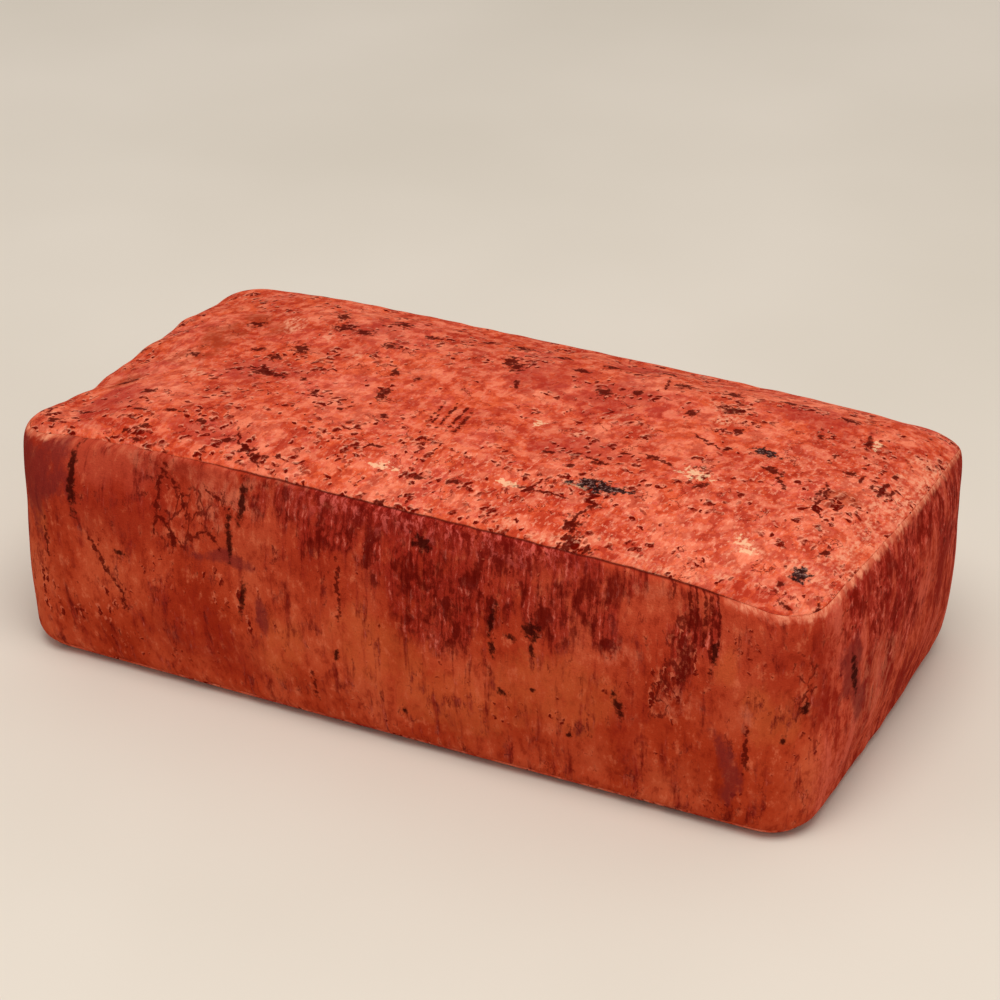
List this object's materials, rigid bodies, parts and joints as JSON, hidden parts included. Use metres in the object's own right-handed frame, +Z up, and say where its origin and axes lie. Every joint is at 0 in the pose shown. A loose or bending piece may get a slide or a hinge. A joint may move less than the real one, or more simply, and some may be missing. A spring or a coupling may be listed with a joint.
{
  "type": "brick-shaped cushion",
  "caption": "Small stuffed fabric cushion shaped and printed like a weathered red clay brick, with sewn top, bottom and side band.",
  "frame": {"origin": "under the middle of the bounding box, on the surface the cushion rests on", "axes": "+X along the length, +Y across the width towards the back, +Z up"},
  "size_m": [0.2466, 0.1312, 0.0784],
  "materials": {
    "top_print": "short-pile fabric printed with weathered red brick, top face",
    "bottom_print": "short-pile fabric printed with weathered red brick, bottom face",
    "side_print": "short-pile fabric printed with darker, streaked red brick, sides",
    "foam": "open-cell upholstery foam, off-white",
    "wadding": "white polyester fibre",
    "thread": "dark brick-red polyester sewing thread"
  },
  "bodies": {
    "root": {"top_panel": "top_print", "bottom_panel": "bottom_print", "side_band": "side_print", "foam_core": "foam", "wadding_wrap": "wadding", "wadding_left_end": "wadding", "wadding_right_end": "wadding", "top_seam_stitches": "thread", "bottom_seam_stitches": "thread", "band_join_stitches": "thread", "closing_stitches": "thread"}
  },
  "joints": []
}
